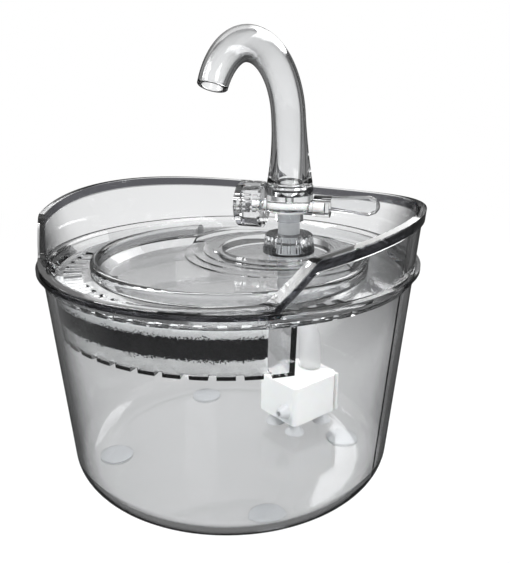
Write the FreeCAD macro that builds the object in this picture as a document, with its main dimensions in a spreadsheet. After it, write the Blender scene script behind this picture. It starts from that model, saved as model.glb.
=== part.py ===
import FreeCAD, Part
import Sketcher
import math
import os
import re
from FreeCAD import Placement, Rotation, Vector

# Pet water fountain: a round clear tank, a clear drinking tray with a swan neck tap,
# a crescent filter box under the tray and a small submersible pump on the tank floor.
# Millimetres, +Z up, origin on the floor at the tank's axis, -Y is the low drinking side.

doc = FreeCAD.newDocument("pet_water_fountain")
sheet = doc.addObject("Spreadsheet::Sheet", "Sizes")

SIZES = [
    ("tank_height", 112.4, "top of the tank above the floor"),
    ("seam_radius", 92.0, "outer radius of the tank wall at its top"),
    ("wall_flare", 0.0834, "widening of the wall per unit of height"),
    ("tank_wall", 2.5, "tank wall"),
    ("tank_floor", 3.0, "tank floor"),
    ("tank_corner", 15.0, "outer rounding between floor and wall"),
    ("foot_stand", 1.2, "how far the feet hold the floor up"),
    ("rim_band_height", 4.0, "thick band round the tank's mouth"),
    ("rim_band", 1.3, "how far that band stands out"),
    ("foot_radius", 9.0, "rubber foot"),
    ("foot_recess", 0.8, "pocket that a foot is glued into"),
    ("foot_circle", 64.0, "feet from the axis"),
    ("foot_angle", 49.5, "front feet from the front centre line"),
    ("glue_gap", 0.03, "bond line round glued pieces"),
    ("seat_gap", 0.1, "tray flange above the tank's mouth"),
    ("flange_thick", 2.0, "tray flange"),
    ("flange_reach", 2.8, "flange beyond the tank wall"),
    ("skirt_gap", 0.35, "tray skirt inside the tank's mouth"),
    ("tray_wall", 2.4, "tray wall"),
    ("tray_sheet", 2.0, "tray floor"),
    ("channel_drop", 3.5, "overflow channel below the flange"),
    ("basin_drop", 8.0, "basin floor below the flange"),
    ("basin_radius", 62.0, "flat floor of the basin"),
    ("ring_radius", 70.0, "outside of the basin's raised ring"),
    ("ring_wide", 4.5, "width of the raised ring"),
    ("ring_rise", 2.5, "top of the ring above the flange"),
    ("lip_front", 2.3, "front lip above the flange at the very front"),
    ("lip_side", 5.0, "front lip above the flange beside the step"),
    ("step_front", 66.0, "foot of the rim's step, in front of the axis"),
    ("step_back", 54.0, "top of the rim's step, in front of the axis"),
    ("step_round", 5.0, "rounding of the step"),
    ("crest_rise", 29.5, "highest rim point above the flange"),
    ("crest_back", 24.0, "highest rim point behind the axis"),
    ("crest_bend", 420.0, "side view radius of the high rim"),
    ("bead", 1.2, "turned rim outside the wall"),
    ("bead_height", 5.2, "height of the turned rim"),
    ("slot_inner", 74.0, "inner end of the drain slots"),
    ("slot_outer", 82.5, "outer end of the drain slots"),
    ("slot_wide", 3.8, "width of a drain slot"),
    ("slot_pitch", 6.5, "angle from slot to slot"),
    ("slot_count", 23, "number of drain slots"),
    ("plinth_inset", 45.5, "centre of the stepped plinth from the tank's seam"),
    ("plinth_radius", 52.0, "largest step of the plinth"),
    ("plinth_tread", 5.3, "width of each plinth step"),
    ("plinth_rise", 0.9, "height of each plinth step"),
    ("plinth_steps", 4, "number of plinth steps"),
    ("well_radius", 31.0, "round well that the tap stands in"),
    ("well_depth", 6.1, "well below the top step"),
    ("faucet_inset", 31.0, "tap axis in front of the tank's back"),
    ("base_low_radius", 15.2, "ribbed tap base at its foot"),
    ("base_top_radius", 14.0, "ribbed tap base at its top"),
    ("base_height", 11.0, "ribbed tap base"),
    ("base_flutes", 24, "grooves round the tap base"),
    ("flute_radius", 1.1, "groove in the tap base"),
    ("spigot_radius", 7.8, "threaded spigot through the tray"),
    ("spigot_gap", 0.2, "tray hole round the spigot"),
    ("gasket_thick", 1.2, "gasket under the tray"),
    ("gasket_radius", 13.0, "gasket under the tray"),
    ("nut_radius", 14.0, "locking nut across its corners"),
    ("nut_height", 5.5, "locking nut"),
    ("nipple_radius", 3.9, "hose nipple"),
    ("nipple_length", 8.0, "hose nipple"),
    ("water_bore", 2.4, "water way through the fittings"),
    ("stem_radius", 6.4, "grey stem tube"),
    ("stem_wall", 2.6, "stem tube wall"),
    ("stem_depth", 6.0, "stem's end below the tray floor"),
    ("fit_gap", 0.08, "running clearance of turning and sliding fits"),
    ("collar_radius", 13.5, "valve body"),
    ("stem_show", 7.5, "stem seen between the tap base and the sleeve"),
    ("collar_height", 16.0, "valve body"),
    ("boss_radius", 8.2, "sleeve under the valve body"),
    ("boss_drop", 5.5, "sleeve under the valve body"),
    ("stem_seat", 4.9, "stem inside that sleeve"),
    ("barrel_level", 3.0, "cross barrel's axis above the underside"),
    ("barrel_radius", 4.6, "cross barrel"),
    ("barrel_half", 14.4, "cross barrel from the tap's axis"),
    ("barrel_turn", 15.0, "cross barrel's turn from the X axis"),
    ("spindle_radius", 2.8, "valve spindle"),
    ("spindle_half", 21.0, "spindle end from the tap's axis"),
    ("port_radius", 1.7, "water way through the spindle"),
    ("knob_radius", 13.8, "faceted knob across its corners"),
    ("knob_length", 15.6, "faceted knob"),
    ("knob_facets", 12, "flats on the knob"),
    ("knob_gap", 0.4, "knob and lever from the barrel's ends"),
    ("screw_radius", 1.5, "knob screw"),
    ("screw_length", 8.0, "knob screw below its head"),
    ("screw_head", 2.9, "knob screw head"),
    ("lever_room", 31.87, "room between the lever and the tank wall beside the tap"),
    ("lever_hub", 5.4, "lever hub"),
    ("lever_neck", 4.4, "lever where it is thinnest"),
    ("lever_end", 5.8, "lever near its rounded end"),
    ("lever_flat", 7.6, "lever thickness across its flats"),
    ("lever_raise", 2.6, "lever's middle above the barrel's axis"),
    ("turn_gap", 0.2, "spout foot above the valve body"),
    ("spout_foot", 13.2, "spout radius at its foot"),
    ("spout_waist", 9.6, "spout radius above the flare"),
    ("spout_crown", 8.8, "spout radius at the top of its bend"),
    ("spout_mouth", 7.2, "spout radius at its mouth"),
    ("spout_wall", 2.2, "spout wall above the flare"),
    ("flare_length", 40.0, "length of the spout's flared foot"),
    ("lean_bend", 276.0, "gentle bend of the spout's column"),
    ("lean_angle", 8.0, "lean at the top of the column"),
    ("rise_bend", 41.0, "bend radius before the crown"),
    ("fall_bend", 33.0, "bend radius after the crown"),
    ("mouth_angle", 157.0, "direction of the mouth from straight up"),
    ("socket_radius", 10.0, "spout spigot in the valve body"),
    ("socket_depth", 6.5, "spout spigot in the valve body"),
    ("ring_cord", 1.4, "O-ring thickness"),
    ("box_inner", 57.0, "filter box inner radius"),
    ("box_gap", 1.5, "filter box from the tank wall"),
    ("box_drop", 27.9, "filter box underside below the tank's mouth"),
    ("box_angle", 104.0, "filter box angle"),
    ("box_wall", 1.4, "filter box wall"),
    ("box_clear", 0.3, "filter box below the tray"),
    ("media_gap", 0.3, "filter media inside the box"),
    ("media_end", 6.0, "angle left free at each end of the media"),
    ("rib_long", 3.2, "guide rib under the tray"),
    ("rib_deep", 4.0, "guide rib under the tray"),
    ("rib_gap", 0.15, "guide rib from the box's end wall"),
    ("lower_cotton", 5.0, "lower cotton layer"),
    ("carbon_layer", 8.6, "carbon layer"),
    ("tooth_count", 13, "notches in the box's lower edge"),
    ("tooth_wide", 3.4, "notch width"),
    ("tooth_high", 2.4, "notch height"),
    ("pump_side", 19.0, "pump centre beside the tap"),
    ("pump_before", 18.0, "pump centre in front of the tap"),
    ("pump_turn", -18.0, "pump's turn about the vertical"),
    ("pump_wide", 31.0, "pump width"),
    ("pump_deep", 36.0, "pump depth with its cover"),
    ("pump_high", 23.0, "pump height"),
    ("pump_wall", 2.0, "pump housing wall"),
    ("pump_round", 3.0, "pump housing's upright edges"),
    ("plate_thick", 2.5, "housing back plate"),
    ("plate_gap", 0.05, "housing back plate inside the housing"),
    ("gland_side", 8.0, "lead gland from the pump's side"),
    ("gland_rise", 5.0, "lead gland above the pump's floor"),
    ("cup_high", 8.4, "suction cup under the pump"),
    ("cup_radius", 5.6, "suction cup"),
    ("cup_inset", 7.0, "suction cup from the pump's sides"),
    ("cover_thick", 2.6, "pump cover"),
    ("cover_gap", 0.15, "pump cover from the housing"),
    ("volute_radius", 9.2, "impeller chamber"),
    ("volute_deep", 8.0, "impeller chamber"),
    ("well_bore", 7.2, "rotor well"),
    ("well_long", 11.0, "rotor well"),
    ("well_wall", 1.2, "rotor well wall"),
    ("rotor_level", 11.5, "rotor axis above the housing's underside"),
    ("shaft_radius", 1.0, "ceramic shaft"),
    ("bush_radius", 2.4, "shaft bush"),
    ("bush_long", 2.2, "shaft bush"),
    ("magnet_radius", 6.6, "rotor magnet"),
    ("magnet_long", 9.0, "rotor magnet"),
    ("impeller_radius", 7.8, "impeller vanes"),
    ("impeller_hub", 3.4, "impeller hub"),
    ("impeller_long", 5.6, "impeller"),
    ("vane_thick", 1.2, "impeller vane"),
    ("vane_count", 6, "impeller vanes"),
    ("core_gap", 0.3, "iron core from the housing"),
    ("core_tall", 9.0, "iron core"),
    ("yoke_inset", 5.0, "core's yoke behind the housing's open side"),
    ("yoke_thick", 3.0, "core's yoke"),
    ("coil_long", 12.0, "coil along the yoke"),
    ("coil_thick", 3.0, "coil above and below the yoke"),
    ("outlet_side", -3.0, "pump outlet beside the rotor axis"),
    ("outlet_long", 9.0, "pump outlet above the housing"),
    ("hose_radius", 6.5, "hose outside"),
    ("hose_bore", 3.95, "hose inside"),
    ("hose_end", 1.0, "hose end above the pump"),
    ("slider_wide", 9.0, "flow slider"),
    ("slider_high", 6.0, "flow slider"),
    ("slider_thick", 1.4, "flow slider"),
    ("slider_travel", 4.0, "flow slider each way"),
    ("intake_slots", 5, "slots in the pump cover"),
    ("intake_wide", 1.6, "slot width"),
    ("gland_radius", 3.2, "lead gland"),
    ("gland_long", 5.0, "lead gland outside the housing"),
    ("gland_bore", 1.6, "hole in the lead gland"),
]

for row, (alias, value, note) in enumerate(SIZES, 1):
    sheet.set("A%d" % row, note)
    sheet.set("B%d" % row, str(value))
    sheet.setAlias("B%d" % row, alias)
doc.recompute()
ALIASES = {alias for alias, value, note in SIZES}


def tied(text):
    """A formula of size names as an expression on the sheet."""
    return re.sub(r"[a-z_]+", lambda m: "Sizes." + m[0] if m[0] in ALIASES else m[0], str(text))


def num(text):
    """The value of a formula of size names."""
    return float(sheet.evalExpression(tied(text)))


# Levels and radii that several pieces share, as formulas of the sizes.

SEAM = "(tank_height + seat_gap)"
FLANGE_TOP = f"({SEAM} + flange_thick)"
CHANNEL = f"({SEAM} - channel_drop)"
BASIN = f"({SEAM} - basin_drop)"
PLINTH_TOP = f"({BASIN} + plinth_steps * plinth_rise)"
WELL = f"({PLINTH_TOP} - well_depth)"
WELL_UNDER = f"({WELL} - tray_sheet)"
BLANK_TOP = f"({SEAM} + crest_rise + 8)"
COLLAR_LOW = f"({WELL} + base_height + stem_show + boss_drop)"
COLLAR_TOP = f"({COLLAR_LOW} + collar_height)"
VALVE_LOW = f"({COLLAR_LOW} - boss_drop)"
SPOUT_FOOT = f"({COLLAR_TOP} + turn_gap)"
BARREL = f"({COLLAR_LOW} + barrel_level)"
BOX_LOW = "(tank_height - box_drop)"
TAP_BACK = "(seam_radius - faucet_inset)"
PLINTH_BACK = "(seam_radius - plinth_inset)"
LEVER = f"(sqrt(seam_radius^2 - {TAP_BACK}^2) - lever_room)"
TANK_INSIDE = "(foot_stand + tank_floor)"
PUMP_LOW = f"({TANK_INSIDE} + cup_high)"
NUT_TOP = f"({WELL_UNDER} - gasket_thick)"
SPIGOT_END = f"({NUT_TOP} - nut_height - 1)"
NIPPLE_END = f"({SPIGOT_END} - nipple_length)"


def wall_r(level):
    """Outer radius of the flaring wall at a level."""
    return f"(seam_radius + wall_flare * ({level} - tank_height))"


def skirt_r(level):
    """Outside of the tray's skirt, which goes into the tank's mouth."""
    return f"({wall_r(level)} - tank_wall - skirt_gap)"


def corner(radius, level, rounding):
    """Where a rounding leaves the floor and where it meets the flaring wall."""
    root = "sqrt(1 + wall_flare^2)"
    centre = f"({radius} + wall_flare * {rounding} - {rounding} * {root})"
    floor_end = (centre, level)
    wall_end = (f"{centre} + {rounding} / {root}",
                f"{level} + {rounding} - wall_flare * {rounding} / {root}")
    return floor_end, wall_end


# Helpers that draw outlines and make solids of them.

FRONT_PLANE = Placement(Vector(), Rotation(Vector(1, 0, 0), 90))
SIDE_PLANE = Placement(Vector(), Rotation(Vector(0, 1, 0), Vector(0, 0, 1), Vector(1, 0, 0), "XYZ"))
FRONT_HALF = Placement(Vector(), Rotation(Vector(0, -1, 0), Vector(0, 0, 1), Vector(-1, 0, 0), "XYZ"))


def draw(sketch, points):
    """A closed outline. A third entry (radius, turn) makes an arc to the next point."""
    corners = [Vector(num(p[0]), num(p[1]), 0) for p in points]
    ends = []
    for i, point in enumerate(points):
        start, stop = corners[i], corners[(i + 1) % len(points)]
        if len(point) < 3:
            geo = sketch.addGeometry(Part.LineSegment(start, stop), False)
            ends.append((geo, 1, 2))
            continue
        radius, turn = num(point[2][0]), point[2][1]
        chord = stop - start
        side = Vector(-chord.y, chord.x, 0).normalize() * turn
        rise = math.sqrt(max(radius ** 2 - (chord.Length / 2) ** 2, 0))
        centre = (start + stop) * 0.5 + side * rise
        a, b = start - centre, stop - centre
        first, last = math.atan2(a.y, a.x), math.atan2(b.y, b.x)
        if turn < 0:
            first, last = last, first
        circle = Part.Circle(centre, Vector(0, 0, 1), radius)
        geo = sketch.addGeometry(Part.ArcOfCircle(circle, first, last), False)
        ends.append((geo, 1, 2) if turn > 0 else (geo, 2, 1))
    for i, (geo, start, stop) in enumerate(ends):
        after, after_start, _ = ends[(i + 1) % len(ends)]
        sketch.addConstraint(Sketcher.Constraint("Coincident", geo, stop, after, after_start))
    for i, (geo, start, stop) in enumerate(ends):
        for axis, text, name in (("DistanceX", points[i][0], "x"), ("DistanceY", points[i][1], "y")):
            index = sketch.addConstraint(Sketcher.Constraint(axis, geo, start, num(text)))
            sketch.renameConstraint(index, "%s%d" % (name, i))
            sketch.setExpression("Constraints.%s%d" % (name, i), tied(text))
        if len(points[i]) == 3:
            text = points[i][2][0]
            index = sketch.addConstraint(Sketcher.Constraint("Radius", geo, num(text)))
            sketch.renameConstraint(index, "r%d" % i)
            sketch.setExpression("Constraints.r%d" % i, tied(text))


def put(piece, x=0, y=0, z=0, rotation=None):
    """Place a piece; its position stays tied to the sizes."""
    piece.Placement = Placement(Vector(num(x), num(y), num(z)), rotation or Rotation())
    for axis, text in (("x", x), ("y", y), ("z", z)):
        piece.setExpression("Placement.Base." + axis, tied(text))
    return piece


def turned(name, points):
    """A body turned about its own Z axis from an outline of (radius, height)."""
    body = doc.addObject("PartDesign::Body", name)
    sketch = body.newObject("Sketcher::SketchObject", name + "_outline")
    plane = next(f for f in body.Origin.OriginFeatures if f.Role == "XZ_Plane")
    sketch.AttachmentSupport = [(plane, "")]
    sketch.MapMode = "FlatFace"
    draw(sketch, points)
    turn = body.newObject("PartDesign::Revolution", name + "_turn")
    turn.Profile = sketch
    turn.ReferenceAxis = (sketch, ["V_Axis"])
    turn.Angle = 360
    sketch.Visibility = False
    return body


def padded(name, points, height):
    """A body padded up from an outline in its own XY plane."""
    body = doc.addObject("PartDesign::Body", name)
    sketch = body.newObject("Sketcher::SketchObject", name + "_outline")
    plane = next(f for f in body.Origin.OriginFeatures if f.Role == "XY_Plane")
    sketch.AttachmentSupport = [(plane, "")]
    sketch.MapMode = "FlatFace"
    draw(sketch, points)
    pad = body.newObject("PartDesign::Pad", name + "_pad")
    pad.Profile = sketch
    pad.Length = num(height)
    pad.setExpression("Length", tied(height))
    return body


def free_sketch(name, points, placement):
    sketch = doc.addObject("Sketcher::SketchObject", name)
    sketch.Placement = placement
    draw(sketch, points)
    return sketch


def sector(name, points, span):
    """A solid swept about the Z axis through a span centred on the front."""
    turn = doc.addObject("Part::Revolution", name)
    turn.Source = free_sketch(name + "_outline", points, FRONT_HALF)
    turn.Axis = Vector(0, 0, 1)
    turn.Angle = num(span)
    turn.setExpression("Angle", tied(span))
    turn.Symmetric = True
    turn.Solid = True
    return turn


def side_slab(name, points, width):
    """A solid whose side view is the outline, as wide as given across X."""
    slab = doc.addObject("Part::Extrusion", name)
    slab.Base = free_sketch(name + "_outline", points, SIDE_PLANE)
    slab.DirMode = "Normal"
    slab.LengthFwd = num(width)
    slab.setExpression("LengthFwd", tied(width))
    slab.Symmetric = True
    slab.Solid = True
    return slab


def drum(name, radius, height, x=0, y=0, z=0, rotation=None):
    piece = doc.addObject("Part::Cylinder", name)
    for prop, text in (("Radius", radius), ("Height", height)):
        setattr(piece, prop, num(text))
        piece.setExpression(prop, tied(text))
    return put(piece, x, y, z, rotation)


def block(name, size, x, y, z, rotation=None):
    """A box whose x and y are those of its middle and z that of its underside."""
    piece = doc.addObject("Part::Box", name)
    for prop, text in zip(("Length", "Width", "Height"), size):
        setattr(piece, prop, num(text))
        piece.setExpression(prop, tied(text))
    return put(piece, f"{x} - ({size[0]}) / 2", f"{y} - ({size[1]}) / 2", z, rotation)


def ring(name, middle, cord, z=0):
    piece = doc.addObject("Part::Torus", name)
    for prop, text in (("Radius1", middle), ("Radius2", cord)):
        setattr(piece, prop, num(text))
        piece.setExpression(prop, tied(text))
    return put(piece, z=z)


def cut(name, base, *tools):
    tool = tools[0] if len(tools) == 1 else fuse(name + "_cutters", *tools)
    piece = doc.addObject("Part::Cut", name)
    piece.Base, piece.Tool = base, tool
    return piece


def fuse(name, *shapes):
    piece = doc.addObject("Part::MultiFuse", name)
    piece.Shapes = list(shapes)
    return piece


def common(name, *shapes):
    piece = doc.addObject("Part::MultiCommon", name)
    piece.Shapes = list(shapes)
    return piece


def made(name, shape, placement=None):
    """A piece whose shape is worked out here from the sizes."""
    piece = doc.addObject("Part::Feature", name)
    piece.Shape = shape
    if placement:
        piece.Placement = placement
    return piece


def around(shape, count, first, pitch, centre=Vector()):
    """Copies of a shape turned about an upright axis."""
    copies = []
    for i in range(count):
        copy = shape.copy()
        copy.rotate(centre, Vector(0, 0, 1), first + pitch * i)
        copies.append(copy)
    return Part.makeCompound(copies)


NODES = []


def node(label, piece):
    """Name a finished sub-part; its file takes this name."""
    piece.Label = label
    NODES.append(piece)
    return piece


# Tank and its feet.

def make_tank():
    outer_floor, outer_wall = corner(wall_r("foot_stand"), "foot_stand", "tank_corner")
    inner_round = "(tank_corner - tank_wall)"
    inner_floor, inner_wall = corner(f"({wall_r(TANK_INSIDE)} - tank_wall)", TANK_INSIDE, inner_round)
    band = "(tank_height - rim_band_height)"
    bowl = turned("tank_bowl", [
        ("0", "foot_stand"),
        (*outer_floor, ("tank_corner", 1)),
        outer_wall,
        (wall_r(band), band),
        (f"{wall_r(band)} + rim_band", f"{band} + rim_band"),
        (f"{wall_r('tank_height')} + rim_band", "tank_height"),
        (f"{wall_r('tank_height')} - tank_wall", "tank_height"),
        (*inner_wall, (inner_round, -1)),
        inner_floor,
        ("0", TANK_INSIDE)])
    pocket = Part.makeCylinder(num("foot_radius + glue_gap"), num("foot_recess + 1"))
    pocket.translate(Vector(0, -num("foot_circle"), num("foot_stand") - 1))
    pockets = made("foot_pockets", on_foot_places(pocket))
    node("tank", cut("tank_shell", bowl, pockets))
    pad = Part.makeCylinder(num("foot_radius"), num("foot_stand + foot_recess - glue_gap"))
    pad = pad.makeFillet(0.5, [e for e in pad.Edges if e.BoundBox.ZMax < 0.01])
    pad.translate(Vector(0, -num("foot_circle"), 0))
    node("tank_feet", made("feet", on_foot_places(pad)))


def on_foot_places(shape):
    angle = num("foot_angle")
    copies = []
    for turn in (angle, -angle, 180 - angle, 180 + angle):
        copy = shape.copy()
        copy.rotate(Vector(), Vector(0, 0, 1), turn)
        copies.append(copy)
    return Part.makeCompound(copies)


# Drinking tray.

def rim_height(back):
    """Level of the high rim at a distance behind the axis."""
    return f"({SEAM} + crest_rise - crest_bend + sqrt(crest_bend^2 - ({back} - crest_back)^2))"


def above_rim(name):
    """Everything above the tray's rim: low at the front, one steep step, then a long arch."""
    reach = "(seam_radius + 20)"
    top = f"({BLANK_TOP} + 10)"
    slab = side_slab(name, [
        (f"0 - {reach}", f"{SEAM} + lip_front"),
        ("0 - step_front - 32", f"{SEAM} + lip_front"),
        ("0 - step_front", f"{SEAM} + lip_side"),
        ("0 - step_back", rim_height("(0 - step_back)"), ("crest_bend", -1)),
        (reach, rim_height(reach)),
        (reach, top),
        (f"0 - {reach}", top)], f"2 * {reach}")
    doc.recompute()
    corners = [(-num("step_front"), num(f"{SEAM} + lip_side")),
               (-num("step_back"), num(rim_height("(0 - step_back)")))]
    rounded = doc.addObject("Part::Fillet", name + "_rounded")
    rounded.Base = slab
    edges = []
    for i, edge in enumerate(slab.Shape.Edges, 1):
        box = edge.BoundBox
        for y, z in corners:
            if box.XLength > 10 and abs(box.YMin - y) + abs(box.YMax - y) < 0.1 and abs(box.ZMin - z) < 0.1:
                edges.append((i, num("step_round"), num("step_round")))
    rounded.Edges = edges
    return rounded


def make_tray():
    ring_top = f"({SEAM} + ring_rise)"
    under = f"({CHANNEL} - tray_sheet)"
    blank = turned("tray_blank", [
        ("0", f"{BASIN} - tray_sheet"),
        ("basin_radius + tray_sheet / 2", f"{BASIN} - tray_sheet"),
        ("ring_radius - ring_wide / 2", under),
        (skirt_r(under), under),
        (skirt_r(SEAM), SEAM),
        ("seam_radius + flange_reach", SEAM),
        ("seam_radius + flange_reach", FLANGE_TOP),
        (wall_r(FLANGE_TOP), FLANGE_TOP),
        (wall_r(BLANK_TOP), BLANK_TOP),
        (f"{wall_r(BLANK_TOP)} - tray_wall", BLANK_TOP),
        (f"{wall_r(FLANGE_TOP)} - tray_wall", FLANGE_TOP),
        (f"{skirt_r(CHANNEL)} - tray_wall", CHANNEL),
        ("ring_radius", CHANNEL),
        ("ring_radius", f"{ring_top} - ring_wide / 2", ("ring_wide / 2", 1)),
        ("ring_radius - ring_wide / 2", ring_top, ("ring_wide / 2", 1)),
        ("ring_radius - ring_wide", f"{ring_top} - ring_wide / 2"),
        ("ring_radius - ring_wide", CHANNEL),
        ("basin_radius", BASIN),
        ("0", BASIN)])
    inside = f"({skirt_r(CHANNEL)} - tray_wall / 2)"
    low = f"({WELL_UNDER})"
    room = common("plinth_room",
                  drum("plinth_reach", "plinth_radius", "60", y=PLINTH_BACK, z=f"{under} - 1"),
                  drum("plinth_bound", f"{skirt_r(CHANNEL)} - tray_wall", "60", z=f"{under} - 1"))
    steps = []
    for i in range(int(num("plinth_steps"))):
        steps.append(drum("plinth_disc_%d" % i, f"plinth_radius - {i} * plinth_tread",
                          f"{BASIN} + {i + 1} * plinth_rise - {low}", y=PLINTH_BACK, z=low))
    plinth = common("plinth", fuse("plinth_steps", *steps), drum("plinth_limit", inside, "60", z=low))
    well = drum("tap_well", "well_radius", "20", y=PLINTH_BACK, z=WELL)
    under_well = drum("under_plinth", "plinth_radius + 20", f"{BASIN} - tray_sheet - {low}",
                      y=PLINTH_BACK, z=low)
    under_ring = cut("under_plinth_ring", under_well,
                     drum("well_boss", "well_radius + tray_sheet", "20", y=PLINTH_BACK, z=f"{low} - 1"))
    hole = drum("tap_hole", "spigot_radius + spigot_gap", "30", y=TAP_BACK, z=f"{low} - 5")
    body = fuse("tray_body", cut("tray_open", blank, room), cut("plinth_cut", plinth, under_ring),
                make_plinth_walls(inside))
    slot = Part.makeBox(num("slot_wide"), num("slot_outer - slot_inner"), 12)
    slot.translate(Vector(-num("slot_wide") / 2, -num("slot_outer"), num(CHANNEL) - 8))
    count, pitch = int(num("slot_count")), num("slot_pitch")
    slots = made("drain_slots", around(slot, count, -pitch * (count - 1) / 2, pitch))
    rim = above_rim("above_rim")
    trimmed = cut("tray_trimmed", body, well, hole, slots, rim)
    shell = turned("bead_blank", [
        (f"{wall_r(FLANGE_TOP)} - tray_wall / 2", f"{FLANGE_TOP} - flange_thick / 2"),
        (f"{wall_r(FLANGE_TOP)} + bead", f"{FLANGE_TOP} - flange_thick / 2"),
        (f"{wall_r(BLANK_TOP)} + bead", BLANK_TOP),
        (f"{wall_r(BLANK_TOP)} - tray_wall / 2", BLANK_TOP)])
    band = above_rim("bead_band")
    band.Placement = Placement(Vector(0, 0, -num("bead_height")), Rotation())
    bead = cut("tray_bead", common("bead_zone", shell, band), rim)
    node("drinking_tray", fuse("tray", trimmed, bead, make_box_ribs()))


def make_plinth_walls(inside):
    """Upright walls that close the plinth's edge against the higher channel and the tray wall."""
    low = f"({BASIN} - tray_sheet)"
    tall = f"({CHANNEL} - tray_sheet / 2 - {low})"
    outer = "(plinth_radius + tray_sheet)"
    edge = cut("plinth_edge", drum("plinth_edge_out", outer, tall, y=PLINTH_BACK, z=low),
               drum("plinth_edge_in", "plinth_radius", f"{tall} + 2", y=PLINTH_BACK, z=f"{low} - 1"))
    zone = cut("plinth_edge_zone", drum("edge_zone_out", inside, tall, z=low),
               drum("edge_zone_in", "ring_radius - ring_wide * 1.2", f"{tall} + 2", z=f"{low} - 1"))
    back = cut("plinth_back_ring", drum("back_ring_out", inside, tall, z=low),
               drum("back_ring_in", f"{inside} - tray_wall / 2", f"{tall} + 2", z=f"{low} - 1"))
    reach = drum("back_wall_reach", outer, tall, y=PLINTH_BACK, z=low)
    return fuse("plinth_walls", common("plinth_edge_wall", edge, zone), common("plinth_back_wall", back, reach))


def make_box_ribs():
    """Two short ribs under the tray that grip the filter box by its ends."""
    rib = Part.makeBox(num("box_wall"), num("rib_long"), num("tray_sheet / 2 + rib_deep"))
    start = num("box_inner + box_wall") + 1
    rib.translate(Vector(0, -start - num("rib_long"), num(f"{BASIN} - tray_sheet - rib_deep")))
    half = num("box_angle / 2")
    inset = num("box_wall * 2") * start / num("box_inner") + num("rib_gap")
    left = rib.copy()
    left.translate(Vector(inset - num("box_wall"), 0, 0))
    left.rotate(Vector(), Vector(0, 0, 1), -half)
    right = rib.copy()
    right.translate(Vector(-inset, 0, 0))
    right.rotate(Vector(), Vector(0, 0, 1), half)
    return made("box_ribs", Part.makeCompound([left, right]))


# Tap base, gasket and nut.

def make_base():
    top = f"({WELL} + base_height)"
    blank = turned("base_blank", [
        ("water_bore", NIPPLE_END),
        ("nipple_radius", NIPPLE_END),
        ("nipple_radius", SPIGOT_END),
        ("spigot_radius", SPIGOT_END),
        ("spigot_radius", WELL),
        ("base_low_radius", WELL),
        ("base_low_radius", f"{WELL} + 2"),
        ("base_top_radius", f"{top} - 1"),
        ("base_top_radius - 1", top),
        ("stem_radius + fit_gap", top),
        ("stem_radius + fit_gap", f"{WELL} - stem_depth - fit_gap"),
        ("water_bore", f"{WELL} - stem_depth - fit_gap")])
    put(blank, y=TAP_BACK)
    flute = Part.makeCylinder(num("flute_radius"), num("base_height"))
    flute.translate(Vector(num("base_low_radius") + 0.3, 0, num(WELL) + 2))
    lean = math.degrees(math.atan2(num("base_low_radius - base_top_radius"), num("base_height")))
    flute.rotate(Vector(num("base_low_radius"), 0, num(WELL) + 2), Vector(0, 1, 0), -lean)
    count = int(num("base_flutes"))
    flutes = around(flute, count, 0, 360 / count)
    flutes.translate(Vector(0, num(TAP_BACK), 0))
    node("faucet_base", cut("tap_base", blank, made("base_flute_cutters", flutes)))
    gasket = turned("gasket_blank", [
        ("spigot_radius + glue_gap", NUT_TOP),
        ("gasket_radius", NUT_TOP),
        ("gasket_radius", WELL_UNDER),
        ("spigot_radius + glue_gap", WELL_UNDER)])
    node("base_gasket", put(gasket, y=TAP_BACK))
    hexagon = Part.makePolygon([Vector(num("nut_radius") * math.cos(math.radians(60 * i)),
                                       num("nut_radius") * math.sin(math.radians(60 * i)), 0)
                                for i in range(7)])
    nut = Part.Face(hexagon).extrude(Vector(0, 0, num("nut_height")))
    nut = nut.cut(Part.makeCylinder(num("spigot_radius + glue_gap"), num("nut_height")))
    place = Placement(Vector(0, num(TAP_BACK), num(f"{NUT_TOP} - nut_height")), Rotation())
    node("base_nut", made("nut", nut, place))


# Stem, valve body and what turns in it.

def make_stem():
    low = f"({WELL} - stem_depth)"
    high = f"({VALVE_LOW} + stem_seat)"
    groove = f"({WELL} + base_height / 2)"
    deep = "(stem_radius - ring_cord)"
    stem = turned("stem_tube", [
        ("stem_radius - stem_wall", low),
        ("stem_radius", low),
        ("stem_radius", f"{groove} - ring_cord * 0.6"),
        (deep, f"{groove} - ring_cord * 0.6"),
        (deep, f"{groove} + ring_cord * 0.6"),
        ("stem_radius", f"{groove} + ring_cord * 0.6"),
        ("stem_radius", high),
        ("stem_radius - stem_wall", high)])
    node("faucet_stem", put(stem, y=TAP_BACK))
    seal = ring("stem_seal", f"{deep} + ring_cord / 2 + 0.02", "ring_cord / 2", z=groove)
    node("stem_o_ring", put(seal, y=TAP_BACK, z=groove))


ALONG_X = Rotation(Vector(0, 1, 0), 90)


def barrel_frame(along="0"):
    """Placement on the cross barrel's axis; its own X runs to the lever's side."""
    turn = Rotation(Vector(0, 0, 1), num("barrel_turn"))
    base = Vector(0, num(TAP_BACK), num(BARREL)) + turn.multVec(Vector(num(along), 0, 0))
    return Placement(base, turn)


def on_barrel(piece, along="0"):
    """Turn a piece made along its own Z to lie along the barrel."""
    return put(piece, f"({along}) * cos(barrel_turn)", f"{TAP_BACK} + ({along}) * sin(barrel_turn)",
               BARREL, barrel_frame().Rotation * ALONG_X)


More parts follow.
